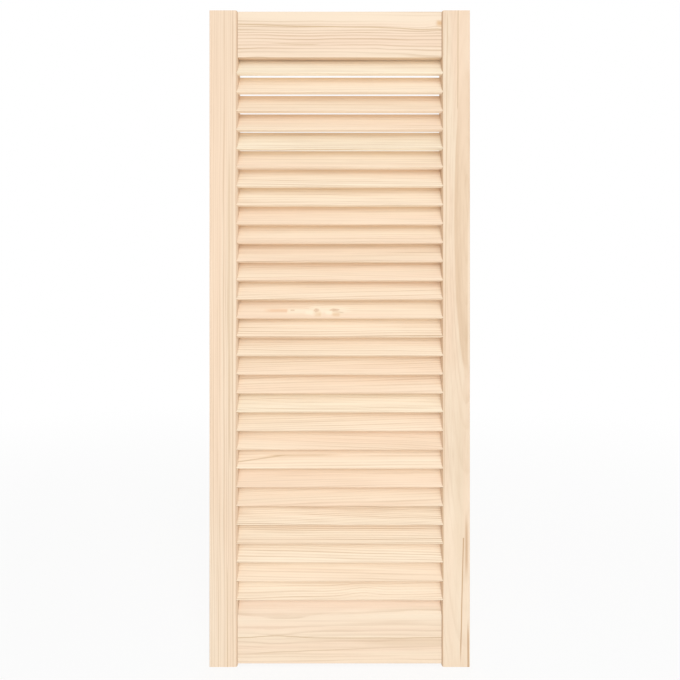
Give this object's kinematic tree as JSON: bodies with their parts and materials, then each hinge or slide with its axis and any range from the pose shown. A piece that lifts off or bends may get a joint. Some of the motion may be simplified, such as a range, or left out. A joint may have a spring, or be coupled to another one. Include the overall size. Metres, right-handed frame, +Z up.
{
  "type": "louvred cabinet door",
  "caption": "Tall raw pine cabinet door: a frame of stiles and bevelled rails holding fixed, sloping louvre slats that let air through.",
  "frame": {"origin": "middle of the door's foot, halfway between the stiles' outer edges and halfway through their thickness", "axes": "+Z up along the stiles, +X across the door to the right as seen from the front, -Y out of the front face"},
  "size_m": [0.394, 0.021, 0.993],
  "materials": {
    "stile_pine": "sanded bare pine, straight grain up the stile",
    "rail_pine": "sanded bare pine, wavy grain along the rail",
    "slat_pine": "sanded bare pine, grain along the slat",
    "dowel_beech": "plain turned beech, hidden in the joints"
  },
  "bodies": {
    "root": {"left_stile": "stile_pine", "right_stile": "stile_pine", "top_rail": "rail_pine", "bottom_rail": "rail_pine", "louvre_slat_01": "slat_pine", "louvre_slat_02": "slat_pine", "louvre_slat_03": "slat_pine", "louvre_slat_04": "slat_pine", "louvre_slat_05": "slat_pine", "louvre_slat_06": "slat_pine", "louvre_slat_07": "slat_pine", "louvre_slat_08": "slat_pine", "louvre_slat_09": "slat_pine", "louvre_slat_10": "slat_pine", "louvre_slat_11": "slat_pine", "louvre_slat_12": "slat_pine", "louvre_slat_13": "slat_pine", "louvre_slat_14": "slat_pine", "louvre_slat_15": "slat_pine", "louvre_slat_16": "slat_pine", "louvre_slat_17": "slat_pine", "louvre_slat_18": "slat_pine", "louvre_slat_19": "slat_pine", "louvre_slat_20": "slat_pine", "louvre_slat_21": "slat_pine", "louvre_slat_22": "slat_pine", "louvre_slat_23": "slat_pine", "louvre_slat_24": "slat_pine", "louvre_slat_25": "slat_pine", "louvre_slat_26": "slat_pine", "louvre_slat_27": "slat_pine", "louvre_slat_28": "slat_pine", "louvre_slat_29": "slat_pine", "dowel_top_left_outer": "dowel_beech", "dowel_top_left_inner": "dowel_beech", "dowel_top_right_outer": "dowel_beech", "dowel_top_right_inner": "dowel_beech", "dowel_bottom_left_outer": "dowel_beech", "dowel_bottom_left_inner": "dowel_beech", "dowel_bottom_right_outer": "dowel_beech", "dowel_bottom_right_inner": "dowel_beech"}
  },
  "joints": []
}
